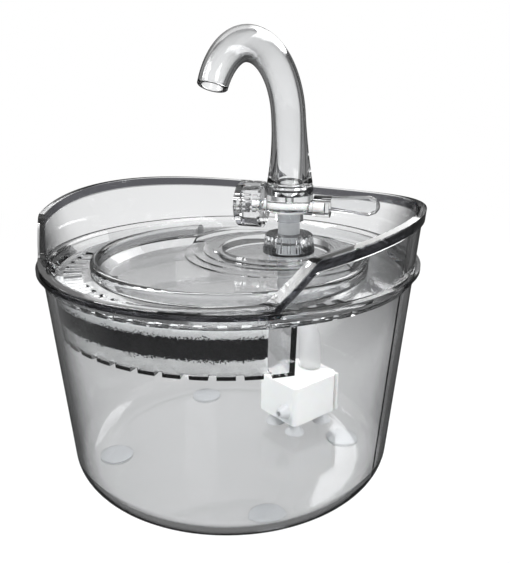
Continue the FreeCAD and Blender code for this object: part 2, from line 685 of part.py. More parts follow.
def make_valve():
    collar = turned("valve_collar", [
        ("0", VALVE_LOW),
        ("boss_radius", VALVE_LOW),
        ("boss_radius", COLLAR_LOW),
        ("collar_radius - 1.5", COLLAR_LOW),
        ("collar_radius", f"{COLLAR_LOW} + 1.5"),
        ("collar_radius", f"{COLLAR_TOP} - 0.8"),
        ("collar_radius - 0.8", COLLAR_TOP),
        ("0", COLLAR_TOP)])
    put(collar, y=TAP_BACK)
    barrel = on_barrel(drum("cross_barrel", "barrel_radius", "2 * barrel_half"), "0 - barrel_half")
    solid = fuse("valve_solid", collar, barrel)
    spindle_hole = on_barrel(drum("spindle_hole", "spindle_radius + fit_gap", "4 * barrel_half"),
                             "0 - 2 * barrel_half")
    socket = drum("spout_socket", "socket_radius + fit_gap", "socket_depth + 5",
                  y=TAP_BACK, z=f"{SPOUT_FOOT} - socket_depth - fit_gap")
    stem_hole = drum("stem_hole", "stem_radius + glue_gap", "stem_seat + 5",
                     y=TAP_BACK, z=f"{VALVE_LOW} - 5")
    way = drum("valve_way", "port_radius", "collar_height", y=TAP_BACK, z=f"{VALVE_LOW} + 1")
    node("valve_body", cut("valve", solid, spindle_hole, socket, stem_hole, way))


def make_spindle():
    groove = "(barrel_half - 4)"
    width = "(ring_cord * 0.45)"
    deep = "(spindle_radius - ring_cord * 0.7)"
    blank = turned("spindle_blank", [
        ("0", "0 - spindle_half"),
        ("spindle_radius", "0 - spindle_half"),
        ("spindle_radius", f"0 - {groove} - {width}"),
        (deep, f"0 - {groove} - {width}"),
        (deep, f"0 - {groove} + {width}"),
        ("spindle_radius", f"0 - {groove} + {width}"),
        ("spindle_radius", f"{groove} - {width}"),
        (deep, f"{groove} - {width}"),
        (deep, f"{groove} + {width}"),
        ("spindle_radius", f"{groove} + {width}"),
        ("spindle_radius", "spindle_half"),
        ("0", "spindle_half")])
    on_barrel(blank)
    port = drum("spindle_port", "port_radius", "4 * spindle_radius", y=TAP_BACK,
                z=f"{BARREL} - 2 * spindle_radius")
    thread = on_barrel(drum("screw_hole", "screw_radius + glue_gap", "screw_length + 1"),
                       "0 - spindle_half - 0.5")
    node("valve_spindle", cut("spindle", blank, port, thread))
    rings = []
    for side in (-1, 1):
        seal = Part.makeTorus(num(f"{deep} + ring_cord * 0.35 + 0.01"), num("ring_cord * 0.35"))
        seal.translate(Vector(0, 0, side * num(groove)))
        rings.append(seal)
    frame = barrel_frame()
    place = Placement(frame.Base, frame.Rotation * ALONG_X)
    node("spindle_o_rings", made("spindle_seals", Part.makeCompound(rings), place))


def make_knob():
    count = int(num("knob_facets"))
    radius, length = num("knob_radius"), num("knob_length")
    bevel = 1.2
    wires = []
    for level, size in ((0, radius - bevel), (bevel, radius), (length - bevel, radius), (length, radius - bevel)):
        pts = [Vector(size * math.cos(2 * math.pi * i / count), size * math.sin(2 * math.pi * i / count), level)
               for i in range(count + 1)]
        wires.append(Part.makePolygon(pts))
    knob = Part.makeLoft(wires, True, True)
    start = "(barrel_half + knob_gap)"
    seat = num(f"spindle_half - {start}")
    knob = knob.cut(Part.makeCylinder(num("spindle_radius + glue_gap"), seat + glue(), Vector(0, 0, length - seat - glue())))
    knob = knob.cut(Part.makeCylinder(num("screw_radius + glue_gap"), length))
    knob = knob.cut(Part.makeCylinder(num("screw_head + 0.2"), num(f"knob_length + {start} - spindle_half") - 2))
    frame = barrel_frame(f"0 - {start} - knob_length")
    place = Placement(frame.Base, frame.Rotation * ALONG_X)
    node("valve_knob", made("knob", knob, place))
    head = num("knob_length") + num(start) - num("spindle_half") - 2
    screw = Part.makeCylinder(num("screw_head"), 1.8, Vector(0, 0, head - 1.8))
    screw = screw.fuse(Part.makeCylinder(num("screw_radius"), num("screw_length"), Vector(0, 0, head)))
    for turn in (0, 90):
        slit = Part.makeBox(3.6, 0.8, 1, Vector(-1.8, -0.4, head - 1.9))
        slit.rotate(Vector(), Vector(0, 0, 1), turn)
        screw = screw.cut(slit)
    node("knob_screw", made("screw", screw, place))


def glue():
    return num("glue_gap")


def make_lever():
    start = "(barrel_half + knob_gap)"
    seat = f"(spindle_half - {start} + glue_gap)"
    blank = turned("lever_blank", [
        ("0", "0"),
        ("lever_neck", "0"),
        ("lever_neck", f"{seat} + 4"),
        ("lever_end", f"{LEVER} - lever_end"),
        ("lever_end * 0.72", f"{LEVER} - lever_end * 0.3"),
        ("lever_end * 0.3", LEVER),
        ("0", LEVER)])
    on_barrel(blank, start)
    blank.setExpression("Placement.Base.z", tied(f"{BARREL} + lever_raise"))
    flats = block("lever_flats", (f"{LEVER} + 20", "lever_flat", "60"), "0", "0", "0")
    near = f"({start} - 10)"
    put(flats, f"{near} * cos(barrel_turn) + lever_flat / 2 * sin(barrel_turn)",
        f"{TAP_BACK} + {near} * sin(barrel_turn) - lever_flat / 2 * cos(barrel_turn)",
        f"{BARREL} - 30", barrel_frame().Rotation)
    hub = on_barrel(drum("lever_hub_round", "lever_hub", f"{seat} + 3"), start)
    bore = on_barrel(drum("lever_hub_bore", "spindle_radius + glue_gap", f"{seat} + 1"), f"{start} - 1")
    solid = fuse("lever_solid", common("lever_flat_part", blank, flats), hub)
    node("valve_lever", cut("lever", solid, bore))


# Swan neck spout.

def spout_path(travel):
    """Point and direction on the spout's middle line, by the length from its foot."""
    lean, rise_end = math.radians(num("lean_angle")), math.pi / 2
    mouth = math.radians(num("mouth_angle"))
    y, z = num(TAP_BACK), num(SPOUT_FOOT)
    angle = 0.0
    for bend, stop in (("lean_bend", lean), ("rise_bend", rise_end), ("fall_bend", mouth)):
        radius = num(bend)
        part = min(travel, radius * (stop - angle))
        turned_to = angle + part / radius
        y += radius * (math.cos(turned_to) - math.cos(angle))
        z += radius * (math.sin(turned_to) - math.sin(angle))
        travel -= part
        angle = turned_to
        if travel < 1e-9:
            break
    return Vector(0, y, z), Vector(0, -math.sin(angle), math.cos(angle))


def spout_lengths():
    lean, mouth = math.radians(num("lean_angle")), math.radians(num("mouth_angle"))
    column = num("lean_bend") * lean
    crown = column + num("rise_bend") * (math.pi / 2 - lean)
    return column, crown, crown + num("fall_bend") * (mouth - math.pi / 2)


def spout_radius(travel):
    """Outer radius: a flared foot, a slim neck, then a steady taper to the mouth."""
    column, crown, whole = spout_lengths()
    flare = num("flare_length")
    waist, top, mouth = num("spout_waist"), num("spout_crown"), num("spout_mouth")
    if travel < flare:
        return waist + (num("spout_foot") - waist) * (1 - travel / flare) ** 2
    if travel < crown:
        return waist + (top - waist) * (travel - flare) / (crown - flare)
    return top + (mouth - top) * (travel - crown) / (whole - crown)


def spout_tube(radius_at, past=0.0):
    whole = spout_lengths()[2]
    wires = []
    stations = 14
    for i in range(stations + 1):
        travel = whole * i / stations
        point, way = spout_path(travel)
        if i == stations:
            point = point + way * past
        if i == 0:
            point = point - way * past
        wires.append(Part.Wire(Part.Circle(point, way, radius_at(travel)).toShape()))
    return Part.makeLoft(wires, True, False)


def make_spout():
    foot = num(SPOUT_FOOT)
    outer = spout_tube(spout_radius)
    centre = Vector(0, num(TAP_BACK), 0)
    spigot = Part.makeCylinder(num("socket_radius"), num("socket_depth") + 1,
                               centre + Vector(0, 0, foot - num("socket_depth")))
    level = foot - num("socket_depth") / 2
    cord = num("ring_cord")
    groove = Part.makeCylinder(num("socket_radius") + 1, cord * 1.2, centre + Vector(0, 0, level - cord * 0.6))
    groove = groove.cut(Part.makeCylinder(num("socket_radius") - cord, cord * 2,
                                          centre + Vector(0, 0, level - cord)))
    wall, waist = num("spout_wall"), num("spout_waist")
    inner = spout_tube(lambda s: min(spout_radius(s), waist) - wall, 0.5)
    throat = Part.makeCylinder(waist - wall, num("socket_depth") + 2,
                               centre + Vector(0, 0, foot - num("socket_depth") - 1))
    spout = outer.fuse(spigot).cut(groove).cut(throat).cut(inner)
    node("swan_neck_spout", made("spout", spout))
    seal = ring("spout_seal", "socket_radius - ring_cord / 2 + fit_gap / 2", "ring_cord / 2")
    node("spout_o_ring", put(seal, y=TAP_BACK, z=f"{SPOUT_FOOT} - socket_depth / 2"))


# Filter box and its layers.

def box_outer(level):
    """Outer radius of the filter box, parallel to the tank wall."""
    return f"({wall_r(level)} - tank_wall - box_gap)"


def shelf_outline(inner, outer_gap, low, high_in, high_out):
    """Section of the crescent: lower under the basin, higher under the channel."""
    step = "(ring_radius + 1.5)"
    inside = f"({step} + ({inner}) - box_inner)"
    return [
        (inner, low),
        (f"{box_outer(low)} - {outer_gap}", low),
        (f"{box_outer(high_out)} - {outer_gap}", high_out),
        (inside, high_out),
        (inside, high_in),
        (inner, high_in)]


def make_filter():
    top_out = f"({CHANNEL} - tray_sheet - box_clear)"
    top_in = f"({BASIN} - tray_sheet - box_clear)"
    floor = f"({BOX_LOW} + box_wall)"
    shell = sector("box_blank", shelf_outline("box_inner", "0", BOX_LOW, top_in, top_out), "box_angle")
    wall_angle = "(2 * 57.2958 * box_wall / box_inner)"
    room = sector("box_room", [
        ("box_inner + box_wall", floor),
        (f"{box_outer(floor)} - box_wall", floor),
        (f"{box_outer(SEAM)} - box_wall", SEAM),
        ("box_inner + box_wall", SEAM)], f"box_angle - {wall_angle}")
    count = int(num("tooth_count"))
    notch = Part.makeBox(num("tooth_wide"), num("seam_radius - box_inner") + 4, num("tooth_high") + 2)
    notch.translate(Vector(-num("tooth_wide") / 2, -num("seam_radius") - 1, num(BOX_LOW) - 2))
    pitch = num("box_angle") / (count + 1)
    notches = made("box_notches", around(notch, count, -pitch * (count - 1) / 2, pitch))
    node("filter_box", cut("box_shell", shell, room, notches))
    media_low = f"({floor} + tooth_high)"
    carbon_low = f"({media_low} + lower_cotton)"
    carbon_top = f"({carbon_low} + carbon_layer)"
    media_span = f"box_angle - {wall_angle} - 2 * media_end"
    inner = "(box_inner + box_wall + media_gap)"
    gap = "(box_wall + media_gap)"

    def layer(name, low, high):
        return sector(name, [
            (inner, low),
            (f"{box_outer(low)} - {gap}", low),
            (f"{box_outer(high)} - {gap}", high),
            (inner, high)], media_span)

    node("lower_filter_cotton", layer("lower_cotton_layer", f"{floor} + 0.05", f"{carbon_low} - 0.05"))
    node("carbon_granules", layer("carbon_bed", carbon_low, f"{carbon_top} - 0.05"))
    upper = sector("upper_cotton_layer",
                   shelf_outline(inner, gap, carbon_top, f"({top_in} - 0.2)", f"({top_out} - 0.2)"),
                   media_span)
    node("upper_filter_cotton", upper)


# Pump: built about its own centre, then set down on the tank floor.

def pump_place(x=0.0, y=0.0, z=0.0, rotation=None):
    turn = Rotation(Vector(0, 0, 1), num("pump_turn"))
    base = Vector(num("pump_side"), num(f"{TAP_BACK} - pump_before"), num(PUMP_LOW)) + turn.multVec(Vector(x, y, z))
    return Placement(base, turn * (rotation or Rotation()))


ALONG_Y = Rotation(Vector(1, 0, 0), -90)


def rotor_place(y=0.0):
    """Frame on the rotor's axis, its own Z pointing at the pump's cover."""
    return pump_place(0, y, num("rotor_level"), ALONG_Y)


def housing_ends():
    """Front face, face under the cover, partition and bottom of the rotor well."""
    half = num("pump_deep") / 2
    face = half - num("cover_thick") - num("cover_gap")
    volute = face - num("volute_deep")
    return -half, face, volute, volute - num("well_long")


def make_pump():
    front, face, volute, well = housing_ends()
    wide, high, wall = num("pump_wide"), num("pump_high"), num("pump_wall")
    level = num("rotor_level")
    length = face - front
    body = Part.makeBox(wide, length, high, Vector(-wide / 2, front, 0))
    upright = [e for e in body.Edges if e.BoundBox.ZLength > high - 0.1]
    body = body.makeFillet(num("pump_round"), upright)
    outlet_y = (face + volute) / 2
    side = num("outlet_side")
    nozzle = Part.makeCylinder(num("nipple_radius"), num("outlet_long") + 2, Vector(side, outlet_y, high - 2))
    body = body.fuse(nozzle)
    back = Vector(0, -1, 0)
    chamber = Part.makeCylinder(num("volute_radius"), face - volute, Vector(0, face, level), back)
    rotor_well = Part.makeCylinder(num("well_bore"), num("well_long") + 1, Vector(0, volute + 1, level), back)
    cup = Part.makeCylinder(num("well_bore + well_wall"), num("well_long") + num("well_wall") + 1,
                            Vector(0, volute + 1, level), back)
    room_end = volute - wall
    room = Part.makeBox(wide - 2 * wall, room_end - front, high - 2 * wall,
                        Vector(-wide / 2 + wall, front, wall)).cut(cup)
    way = Part.makeCylinder(num("water_bore"), high - level + num("outlet_long + 1"), Vector(side, outlet_y, level))
    seat = Part.makeCylinder(num("bush_radius + glue_gap"), num("bush_long"), Vector(0, well, level), back)
    body = body.cut(chamber).cut(rotor_well).cut(room).cut(way)
    body = body.fuse(Part.makeCylinder(num("bush_radius") + 1.4, num("bush_long") - num("well_wall") + 1.2,
                                       Vector(0, well - num("well_wall") + 0.2, level), back))
    body = body.cut(seat)
    node("pump_housing", made("housing", body.removeSplitter(), pump_place()))
    inset = wall + num("plate_gap")
    plate = Part.makeBox(wide - 2 * inset, num("plate_thick"), high - 2 * inset, Vector(inset - wide / 2, front, inset))
    gland = Vector(wide / 2 - num("gland_side"), front, wall + num("gland_rise"))
    hole = Part.makeCylinder(num("gland_radius + glue_gap"), num("plate_thick") + 1, gland - Vector(0, 0.5, 0),
                             Vector(0, 1, 0))
    node("housing_back_plate", made("back_plate", plate.cut(hole), pump_place()))
    make_gland(gland)
    make_stator(front, volute, well)
    make_rotor(face, volute, well)
    make_cover(face)
    make_cups()


def make_gland(at):
    """Soft gland that the low voltage lead leaves by."""
    neck, reach = num("gland_radius"), num("gland_long")
    forward = Vector(0, -1, 0)
    gland = Part.makeCylinder(neck, 3, at + Vector(0, 3, 0), forward)
    gland = gland.fuse(Part.makeCone(neck + 1.2, neck - 0.8, reach, at, forward))
    gland = gland.cut(Part.makeCylinder(num("gland_bore"), reach + 8, at + Vector(0, 4, 0), forward))
    node("lead_gland", made("gland", gland, pump_place()))


def make_stator(front, volute, well):
    """Iron core with two legs beside the rotor well, and the coil round its yoke."""
    level, wide, wall = num("rotor_level"), num("pump_wide"), num("pump_wall")
    inner = num("well_bore + well_wall + core_gap")
    outer = wide / 2 - wall - num("core_gap")
    yoke_front = front + num("yoke_inset")
    yoke_back = yoke_front + num("yoke_thick")
    tall = num("core_tall")
    yoke = Part.makeBox(2 * outer, yoke_back - yoke_front, tall, Vector(-outer, yoke_front, level - tall / 2))
    core = yoke
    for x in (-outer, inner):
        core = core.fuse(Part.makeBox(outer - inner, volute - num("pump_wall") - 1 - yoke_front, tall,
                                      Vector(x, yoke_front, level - tall / 2)))
    node("stator_core", made("core", core.removeSplitter(), pump_place()))
    long, thick = num("coil_long"), num("coil_thick")
    coil = Part.makeBox(long, yoke_back - yoke_front + thick, tall + 2 * thick,
                        Vector(-long / 2, yoke_front - thick / 2, level - tall / 2 - thick))
    coil = coil.makeFillet(thick / 3, [e for e in coil.Edges if e.BoundBox.XLength > long * 0.9])
    gap = num("glue_gap")
    coil = coil.cut(Part.makeBox(long * 2, yoke_back - yoke_front + 2 * gap, tall + 2 * gap,
                                 Vector(-long, yoke_front - gap, level - tall / 2 - gap)))
    node("stator_coil", made("coil", coil, pump_place()))


def make_rotor(face, volute, well):
    level = num("rotor_level")
    back = Vector(0, -1, 0)
    bush = num("bush_long")

    def rod(radius, start, length):
        return Part.makeCylinder(num(radius), length, Vector(0, start, level), back)

    rear = rod("bush_radius", well + 0.6, bush).cut(rod("shaft_radius + glue_gap", well + 1, bush + 1))
    node("rear_shaft_bush", made("rear_bush", rear, pump_place()))
    shaft = rod("shaft_radius", face - 0.1, face - 0.1 - well + bush - 0.8)
    node("impeller_shaft", made("shaft", shaft, pump_place()))
    magnet_top = volute - 1.0
    magnet = rod("magnet_radius", magnet_top, num("magnet_long"))
    magnet = magnet.cut(rod("shaft_radius + fit_gap", magnet_top + 1, num("magnet_long") + 2))
    node("rotor_magnet", made("magnet", magnet, pump_place()))
    long = num("impeller_long")
    hub_top = magnet_top + 0.05 + long
    hub = rod("impeller_hub", hub_top, long)
    vane = Part.makeBox(num("impeller_radius"), long - 1, num("vane_thick"),
                        Vector(0, hub_top - long + 1, level - num("vane_thick") / 2))
    count = int(num("vane_count"))
    for i in range(count):
        blade = vane.copy()
        blade.rotate(Vector(0, 0, level), Vector(0, 1, 0), 360 * i / count)
        hub = hub.fuse(blade)
    hub = hub.fuse(rod("magnet_radius", hub_top - long + 1, 1.0))
    hub = hub.cut(rod("shaft_radius + fit_gap", hub_top + 1, long + 2))
    node("impeller", made("impeller_wheel", hub.removeSplitter(), pump_place()))


def make_cover(face):
    """Intake cover with slots, the bush in its middle and the flow slider on it."""
    wide, high, thick = num("pump_wide"), num("pump_high"), num("cover_thick")
    level = num("rotor_level")
    start = face + num("cover_gap")
    plate = Part.makeBox(wide, thick, high, Vector(-wide / 2, start, 0))
    rounding = num("pump_round") / 2
    plate = plate.makeFillet(rounding, [e for e in plate.Edges if e.BoundBox.YMin > start + thick - 0.1])
    count = int(num("intake_slots"))
    pitch = 2 * num("intake_wide")
    for i in range(count):
        x = (i - (count - 1) / 2) * pitch - num("intake_wide") / 2
        tall = num("slider_high") - 1.5
        plate = plate.cut(Part.makeBox(num("intake_wide"), thick + 2, tall, Vector(x, start - 1, level + 5)))
    boss_r = num("bush_radius") + 1.4
    bush = num("bush_long")
    boss = Part.makeCylinder(boss_r, 1.4, Vector(0, start + thick, level), Vector(0, 1, 0))
    plate = plate.fuse(boss)
    reach = thick + 1.0
    plate = plate.cut(Part.makeCylinder(num("bush_radius + glue_gap"), reach - 0.6,
                                        Vector(0, start, level), Vector(0, 1, 0)))
    rail_z = (level + 4.2, level + 5 + num("slider_high") - 0.7)
    run = num("slider_wide") + 2 * num("slider_travel") + 2
    for z in rail_z:
        plate = plate.fuse(Part.makeBox(run, num("slider_thick") + 0.6, 0.8, Vector(-run / 2, start + thick - 0.2, z - 0.4)))
    node("pump_cover", made("cover", plate.removeSplitter(), pump_place()))
    front_bush = Part.makeCylinder(num("bush_radius"), reach - 0.7, Vector(0, start + 0.05, level), Vector(0, 1, 0))
    front_bush = front_bush.cut(Part.makeCylinder(num("shaft_radius + glue_gap"), reach, Vector(0, start - 0.5, level),
                                                  Vector(0, 1, 0)))
    node("front_shaft_bush", made("front_bush", front_bush, pump_place()))
    gap = 0.1
    low = rail_z[0] + 0.4 + gap
    tall = rail_z[1] - 0.4 - gap - low
    slider = Part.makeBox(num("slider_wide"), num("slider_thick"), tall,
                          Vector(-num("slider_wide") / 2, start + thick + gap, low))
    tab = Part.makeBox(2.4, 2.0, tall - 1.6, Vector(-1.2, start + thick + gap + num("slider_thick") - 0.2, low + 0.8))
    node("flow_slider", made("slider", slider.fuse(tab), pump_place()))


def make_cups():
    """Four suction cups; a stud of each goes into the housing's underside."""
    high, radius, inset = num("cup_high"), num("cup_radius"), num("cup_inset")
    profile = [(0, 0), (radius * 0.6, 0), (radius, 0.05), (radius, 0.7), (radius * 0.45, high * 0.55),
               (radius * 0.45, high), (0, high)]
    wire = Part.makePolygon([Vector(r, 0, z) for r, z in profile] + [Vector(0, 0, 0)])
    cup = Part.Face(wire).revolve(Vector(), Vector(0, 0, 1), 360)
    cups = []
    for x in (-1, 1):
        for y in (-1, 1):
            copy = cup.copy()
            copy.translate(Vector(x * (num("pump_wide") / 2 - inset), y * (num("pump_deep") / 2 - inset), -high))
            cups.append(copy)
    node("suction_cups", made("cups", Part.makeCompound(cups), pump_place()))


# Hose from the pump's outlet up to the nipple under the tray.

def make_hose():
    _, face, volute, _ = housing_ends()
    start = pump_place(num("outlet_side"), (face + volute) / 2, num("pump_high")).Base
    start = start + Vector(0, 0, num("hose_end"))
    stop = Vector(0, num(TAP_BACK), num(f"{SPIGOT_END} - glue_gap"))
    nozzle_run = num("outlet_long")
    nipple_run = num("nipple_length") + 1
    a = start + Vector(0, 0, nozzle_run)
    d = stop - Vector(0, 0, nipple_run)
    across = Vector(d.x - a.x, d.y - a.y, 0)
    height = d.z - a.z
    angle = 2 * math.atan2(across.Length, height)
    bend = height / (2 * math.sin(angle))
    way = across.normalize()

    def on_bend(turn):
        return a + way * (bend * (1 - math.cos(turn))) + Vector(0, 0, bend * math.sin(turn))

    middle = on_bend(angle)
    half = on_bend(angle / 2)
    far_half = a + d - half
    edges = [Part.LineSegment(start, a).toShape(),
             Part.Arc(a, half, middle).toShape(),
             Part.Arc(middle, far_half, d).toShape(),
             Part.LineSegment(d, stop).toShape()]
    path = Part.Wire(edges)
    solids = []
    for radius in (num("hose_radius"), num("hose_bore")):
        circle = Part.Wire(Part.Circle(start, Vector(0, 0, 1), radius).toShape())
        solids.append(path.makePipeShell([circle], True, False))
    print("hose bend radius %.1f, length %.1f, volume over section %.1f" % (
        bend, path.Length, solids[0].Volume / (math.pi * num("hose_radius") ** 2)))
    node("riser_hose", made("hose", solids[0].cut(solids[1])))


make_tank()
make_tray()
make_base()
make_stem()
make_valve()
make_spindle()
make_knob()
make_lever()
make_spout()
make_filter()
make_pump()
make_hose()
doc.recompute()

for thing in doc.Objects:
    if "Invalid" in thing.State or "Error" in thing.State:
        raise RuntimeError("%s failed: %s" % (thing.Name, thing.State))
os.makedirs("parts", exist_ok=True)
for piece in NODES:
    shape = piece.Shape
    if shape.isNull() or not shape.isValid() or not shape.Solids:
        raise RuntimeError("%s has no valid solid" % piece.Label)
for piece in NODES:
    piece.Shape.exportStep("parts/%s.step" % piece.Label)
    box = piece.Shape.BoundBox
    print("%-22s solids %2d volume %9.1f z %.2f to %.2f" % (
        piece.Label, len(piece.Shape.Solids), piece.Shape.Volume, box.ZMin, box.ZMax))
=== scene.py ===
import math
import random

import bmesh
import bpy
from mathutils import Matrix, Vector, noise


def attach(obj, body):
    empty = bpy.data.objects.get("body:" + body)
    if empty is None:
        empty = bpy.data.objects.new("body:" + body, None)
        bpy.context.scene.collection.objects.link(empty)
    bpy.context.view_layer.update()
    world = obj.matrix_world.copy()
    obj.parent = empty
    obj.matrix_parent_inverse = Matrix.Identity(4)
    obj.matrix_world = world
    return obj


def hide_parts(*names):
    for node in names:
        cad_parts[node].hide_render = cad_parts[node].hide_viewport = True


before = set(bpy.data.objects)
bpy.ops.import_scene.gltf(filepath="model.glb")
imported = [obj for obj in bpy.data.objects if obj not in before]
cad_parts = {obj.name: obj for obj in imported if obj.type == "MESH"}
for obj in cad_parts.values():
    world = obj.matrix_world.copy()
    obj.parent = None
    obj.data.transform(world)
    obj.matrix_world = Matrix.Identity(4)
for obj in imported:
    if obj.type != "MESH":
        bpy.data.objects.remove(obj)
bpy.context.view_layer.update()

random.seed(7)

# Sizes of the solids that the scene follows, in millimetres

MM = 0.001
SEAM_R, SEAM_Z, FLARE = 92, 112.4, 0.0834
TANK_WALL, BOX_GAP, MEDIA_IN = 2.5, 1.5, 1.7


def wall_r(z):
    """Outer radius of the flaring tank wall."""
    return SEAM_R + FLARE * (z - SEAM_Z)


def media_r(z):
    """Outer radius of the layers in the filter box."""
    return wall_r(z) - TANK_WALL - BOX_GAP - MEDIA_IN


# Camera

PITCH = math.radians(17.27)
TURN = math.radians(32.5)
camera_data = bpy.data.cameras.new("camera")
camera = bpy.data.objects.new("camera", camera_data)
bpy.context.scene.collection.objects.link(camera)
back = Vector((math.sin(TURN) * math.cos(PITCH), -math.cos(TURN) * math.cos(PITCH), math.sin(PITCH)))
camera.location = Vector((183.8, -264.6, 199.1)) * MM
camera.rotation_euler = back.to_track_quat("Z", "Y").to_euler()
camera_data.sensor_fit = "AUTO"
camera_data.sensor_width = 36
camera_data.lens = 650 / 563 * 36
camera_data.clip_start = 0.01
bpy.context.scene.camera = camera
bpy.context.scene.view_settings.view_transform = "Standard"


# Helpers for nodes

def math_node(nt, kind, first, second=0.0):
    """A math node on sockets or numbers."""
    node = nt.nodes.new("ShaderNodeMath")
    node.operation = kind
    for i, value in enumerate((first, second)):
        if isinstance(value, (int, float)):
            node.inputs[i].default_value = value
        else:
            nt.links.new(value, node.inputs[i])
    return node.outputs[0]


def ramp(nt, stops, fac):
    """A colour ramp with stops of position and colour."""
    node = nt.nodes.new("ShaderNodeValToRGB")
    cr = node.color_ramp
    while len(cr.elements) > 1:
        cr.elements.remove(cr.elements[0])
    for i, (pos, col) in enumerate(stops):
        e = cr.elements[0] if i == 0 else cr.elements.new(pos)
        e.position = pos
        e.color = (*col, 1)
    nt.links.new(fac, node.inputs["Fac"])
    return node.outputs["Color"]


def grey(value):
    return (value, value, value)


def split_xyz(nt, socket):
    node = nt.nodes.new("ShaderNodeSeparateXYZ")
    nt.links.new(socket, node.inputs[0])
    return node.outputs


def mix_colours(nt, fac, first, second, kind="MIX"):
    """A colour mix whose inputs are sockets, numbers or colours."""
    node = nt.nodes.new("ShaderNodeMix")
    node.data_type = "RGBA"
    node.blend_type = kind
    for slot, value in (("Factor", fac), (6, first), (7, second)):
        if isinstance(value, float):
            node.inputs[slot].default_value = value
        elif isinstance(value, tuple):
            node.inputs[slot].default_value = (*value, 1)
        else:
            nt.links.new(value, node.inputs[slot])
    return node.outputs[2]


def shining(nt, kind, colour):
    """A background or emission of strength 1."""
    node = nt.nodes.new(kind)
    node.inputs["Strength"].default_value = 1.0
    if isinstance(colour, tuple):
        node.inputs["Color"].default_value = (*colour, 1)
    else:
        nt.links.new(colour, node.inputs["Color"])
    return node.outputs[0]


def choose(nt, fac, off, on):
    """One shader where fac is 0 and the other where it is 1."""
    mix = nt.nodes.new("ShaderNodeMixShader")
    if isinstance(fac, float):
        mix.inputs["Fac"].default_value = fac
    else:
        nt.links.new(fac, mix.inputs["Fac"])
    nt.links.new(off, mix.inputs[1])
    nt.links.new(on, mix.inputs[2])
    return mix.outputs[0]


# Studio: a white room with dark flags round the object

# Direction in degrees, half width in degrees, level
FLAGS = ((14, 3, 0.55), (52, 3, 0.60), (92, 5, 0.16), (158, 4, 0.25),
         (204, 3, 0.60), (244, 3, 0.55), (318, 3, 0.55))
FLAG_EDGE = 7
INNER_DARK = 0.8
BACKGROUND, EMISSION = "ShaderNodeBackground", "ShaderNodeEmission"


def flags(nt, x, y):
    """The room's level by direction round the object, with soft edged flags."""
    turn = math_node(nt, "ARCTAN2", y, x)
    fac = math_node(nt, "FRACT", math_node(nt, "MULTIPLY", turn, 1 / (2 * math.pi)))
    stops = [(0.0, grey(1.0))]
    for centre, half, level in FLAGS:
        for step, value in ((-half - FLAG_EDGE, 1.0), (-half, level), (half, level), (half + FLAG_EDGE, 1.0)):
            stops.append(((centre + step) / 360, grey(value)))
    return ramp(nt, stops, fac)


def straight(nt, light_path):
    """1 for rays that came through clear plastic without being mirrored inside it, low for the others."""
    mirrored_once = math_node(nt, "MINIMUM", light_path.outputs["Glossy Depth"], 1.0)
    share = math_node(nt, "SUBTRACT", 1.0, math_node(nt, "MULTIPLY", mirrored_once, INNER_DARK))
    return math_node(nt, "MULTIPLY", light_path.outputs["Is Transmission Ray"], share)


world = bpy.data.worlds.new("studio")
bpy.context.scene.world = world
world.use_nodes = True
wt = world.node_tree
wt.nodes.clear()
out = wt.nodes.new("ShaderNodeOutputWorld")
path = wt.nodes.new("ShaderNodeLightPath")
where = wt.nodes.new("ShaderNodeTexCoord")
apart = split_xyz(wt, where.outputs["Generated"])
room = flags(wt, apart[0], apart[1])
height = math_node(wt, "ADD", math_node(wt, "MULTIPLY", apart[2], 0.5), 0.5)
lights = ramp(wt, [(0.0, grey(0.03)), (0.62, grey(0.06)), (0.70, grey(0.95)), (0.86, grey(0.95)),
                   (0.90, grey(0.35))], height)
glints = mix_colours(wt, 1.0, lights, room, "MULTIPLY")
shown = shining(wt, BACKGROUND, (0.55, 0.56, 0.57))
for fac, colour in ((path.outputs["Is Glossy Ray"], glints), (straight(wt, path), room),
                    (path.outputs["Is Camera Ray"], grey(1.0))):
    shown = choose(wt, fac, shown, shining(wt, BACKGROUND, colour))
wt.links.new(shown, out.inputs["Surface"])


def lamp(name, place, target, size, power):
    """A rectangular lamp aimed at a point."""
    data = bpy.data.lights.new(name, "AREA")
    data.shape = "RECTANGLE"
    data.size, data.size_y = size
    data.energy = power
    obj = bpy.data.objects.new(name, data)
    bpy.context.scene.collection.objects.link(obj)
    obj.location = place
    obj.rotation_euler = (Vector(place) - Vector(target)).to_track_quat("Z", "Y").to_euler()


lamp("key_lamp", (-0.55, -0.50, 0.85), (0, 0, 0.1), (0.5, 0.5), 7.0)
lamp("fill_lamp", (0.75, -0.35, 0.55), (0, 0, 0.1), (0.4, 0.7), 4.2)
lamp("back_lamp", (0.1, 0.85, 0.6), (0, 0, 0.12), (0.9, 0.4), 4.0)


# Materials

def tree(name):
    mat = bpy.data.materials.new(name)
    mat.use_nodes = True
    nt = mat.node_tree
    nt.nodes.clear()
    output = nt.nodes.new("ShaderNodeOutputMaterial")
    return mat, nt, output


# Side view of the tray's upper edge, in metres
CREST_Y, CREST_Z, ARCH_BEND = 0.024, 0.1420, 0.84
STEP_Y, STEP_Z, STEP_SLOPE, LIP_Z = -0.066, 0.1175, 1.43, 0.1155
# Height of the painted shade band below the tray's upper edge
RIM_SHADE_HEIGHT = 0.006


